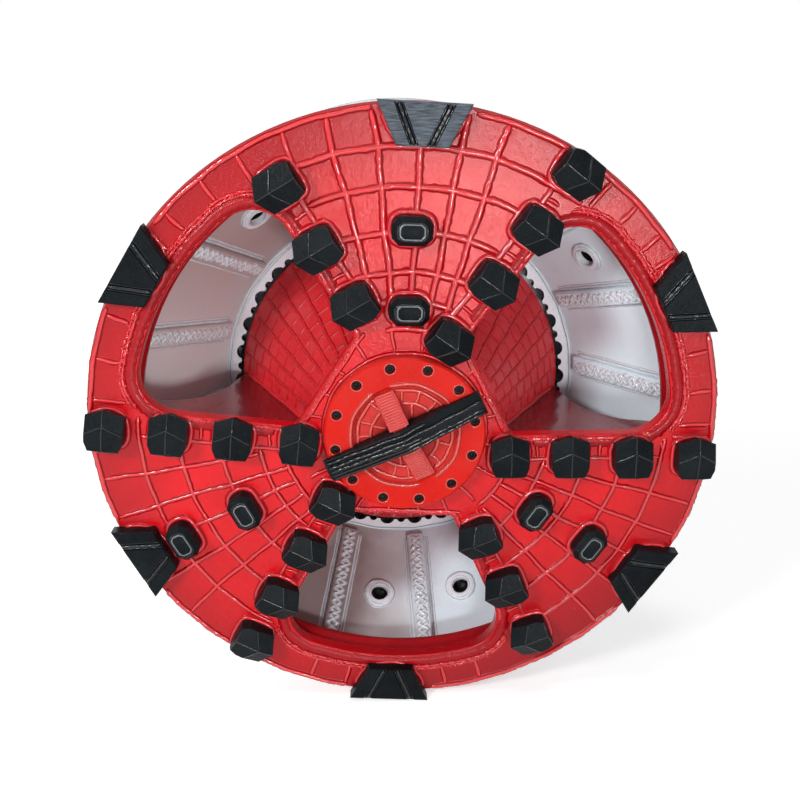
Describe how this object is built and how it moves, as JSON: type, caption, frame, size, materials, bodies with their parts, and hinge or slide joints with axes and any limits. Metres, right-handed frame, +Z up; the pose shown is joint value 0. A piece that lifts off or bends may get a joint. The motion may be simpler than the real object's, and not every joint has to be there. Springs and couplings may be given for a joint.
{
  "type": "tunnel boring machine cutterhead",
  "caption": "Round cutterhead with arms, scraper bits and a crusher cone, turning in the front shield section of a slurry pipe-jacking machine.",
  "frame": {"origin": "centre of the bolt circle on the rear face of the shield section", "axes": "+Y along the tunnel axis away from the ground, +Z up, +X to the right for someone facing the cutterhead"},
  "size_m": [1.4599, 1.037, 1.4672],
  "materials": {
    "red_enamel": "gloss enamel over weld-hatched steel",
    "tool_steel": "gloss black paint",
    "white_enamel": "gloss off-white enamel",
    "grey_enamel": "satin grey enamel",
    "machined_steel": "turned"
  },
  "bodies": {
    "shield_section": {"shield_skin": "white_enamel", "crusher_bowl": "white_enamel", "crusher_bars": "white_enamel", "nozzle_ports": "white_enamel", "screen_ring": "white_enamel", "bulkhead": "white_enamel", "bulkhead_gussets": "white_enamel", "rear_flange": "white_enamel", "bearing_housing": "grey_enamel", "gear_case": "grey_enamel", "drive_motors": "grey_enamel", "feed_pipe": "white_enamel", "feed_pipe_flange": "white_enamel", "discharge_pipe": "white_enamel", "discharge_pipe_flange": "white_enamel"},
    "cutterhead": {"face_plate": "red_enamel", "rim_ring": "red_enamel", "crusher_cone": "red_enamel", "arm_boxes": "red_enamel", "hub_plate": "red_enamel", "centre_cutter": "tool_steel", "centre_gussets": "red_enamel", "head_flange": "red_enamel", "main_shaft": "machined_steel", "gauge_cutters": "tool_steel", "scrapers_top_arm_right": "tool_steel", "scrapers_top_arm_left": "tool_steel", "scrapers_left_arm_upper": "tool_steel", "scrapers_left_arm_lower": "tool_steel", "scrapers_right_arm_lower": "tool_steel", "scrapers_right_arm_upper": "tool_steel", "picks_top_arm": "tool_steel", "picks_left_arm": "tool_steel", "picks_right_arm": "tool_steel"}
  },
  "joints": [
    {"name": "cutterhead_turn", "type": "hinge", "parent": "shield_section", "child": "cutterhead", "pos_m": [0, -0.7, 0], "axis": [0, 1, 0], "continuous": true}
  ]
}
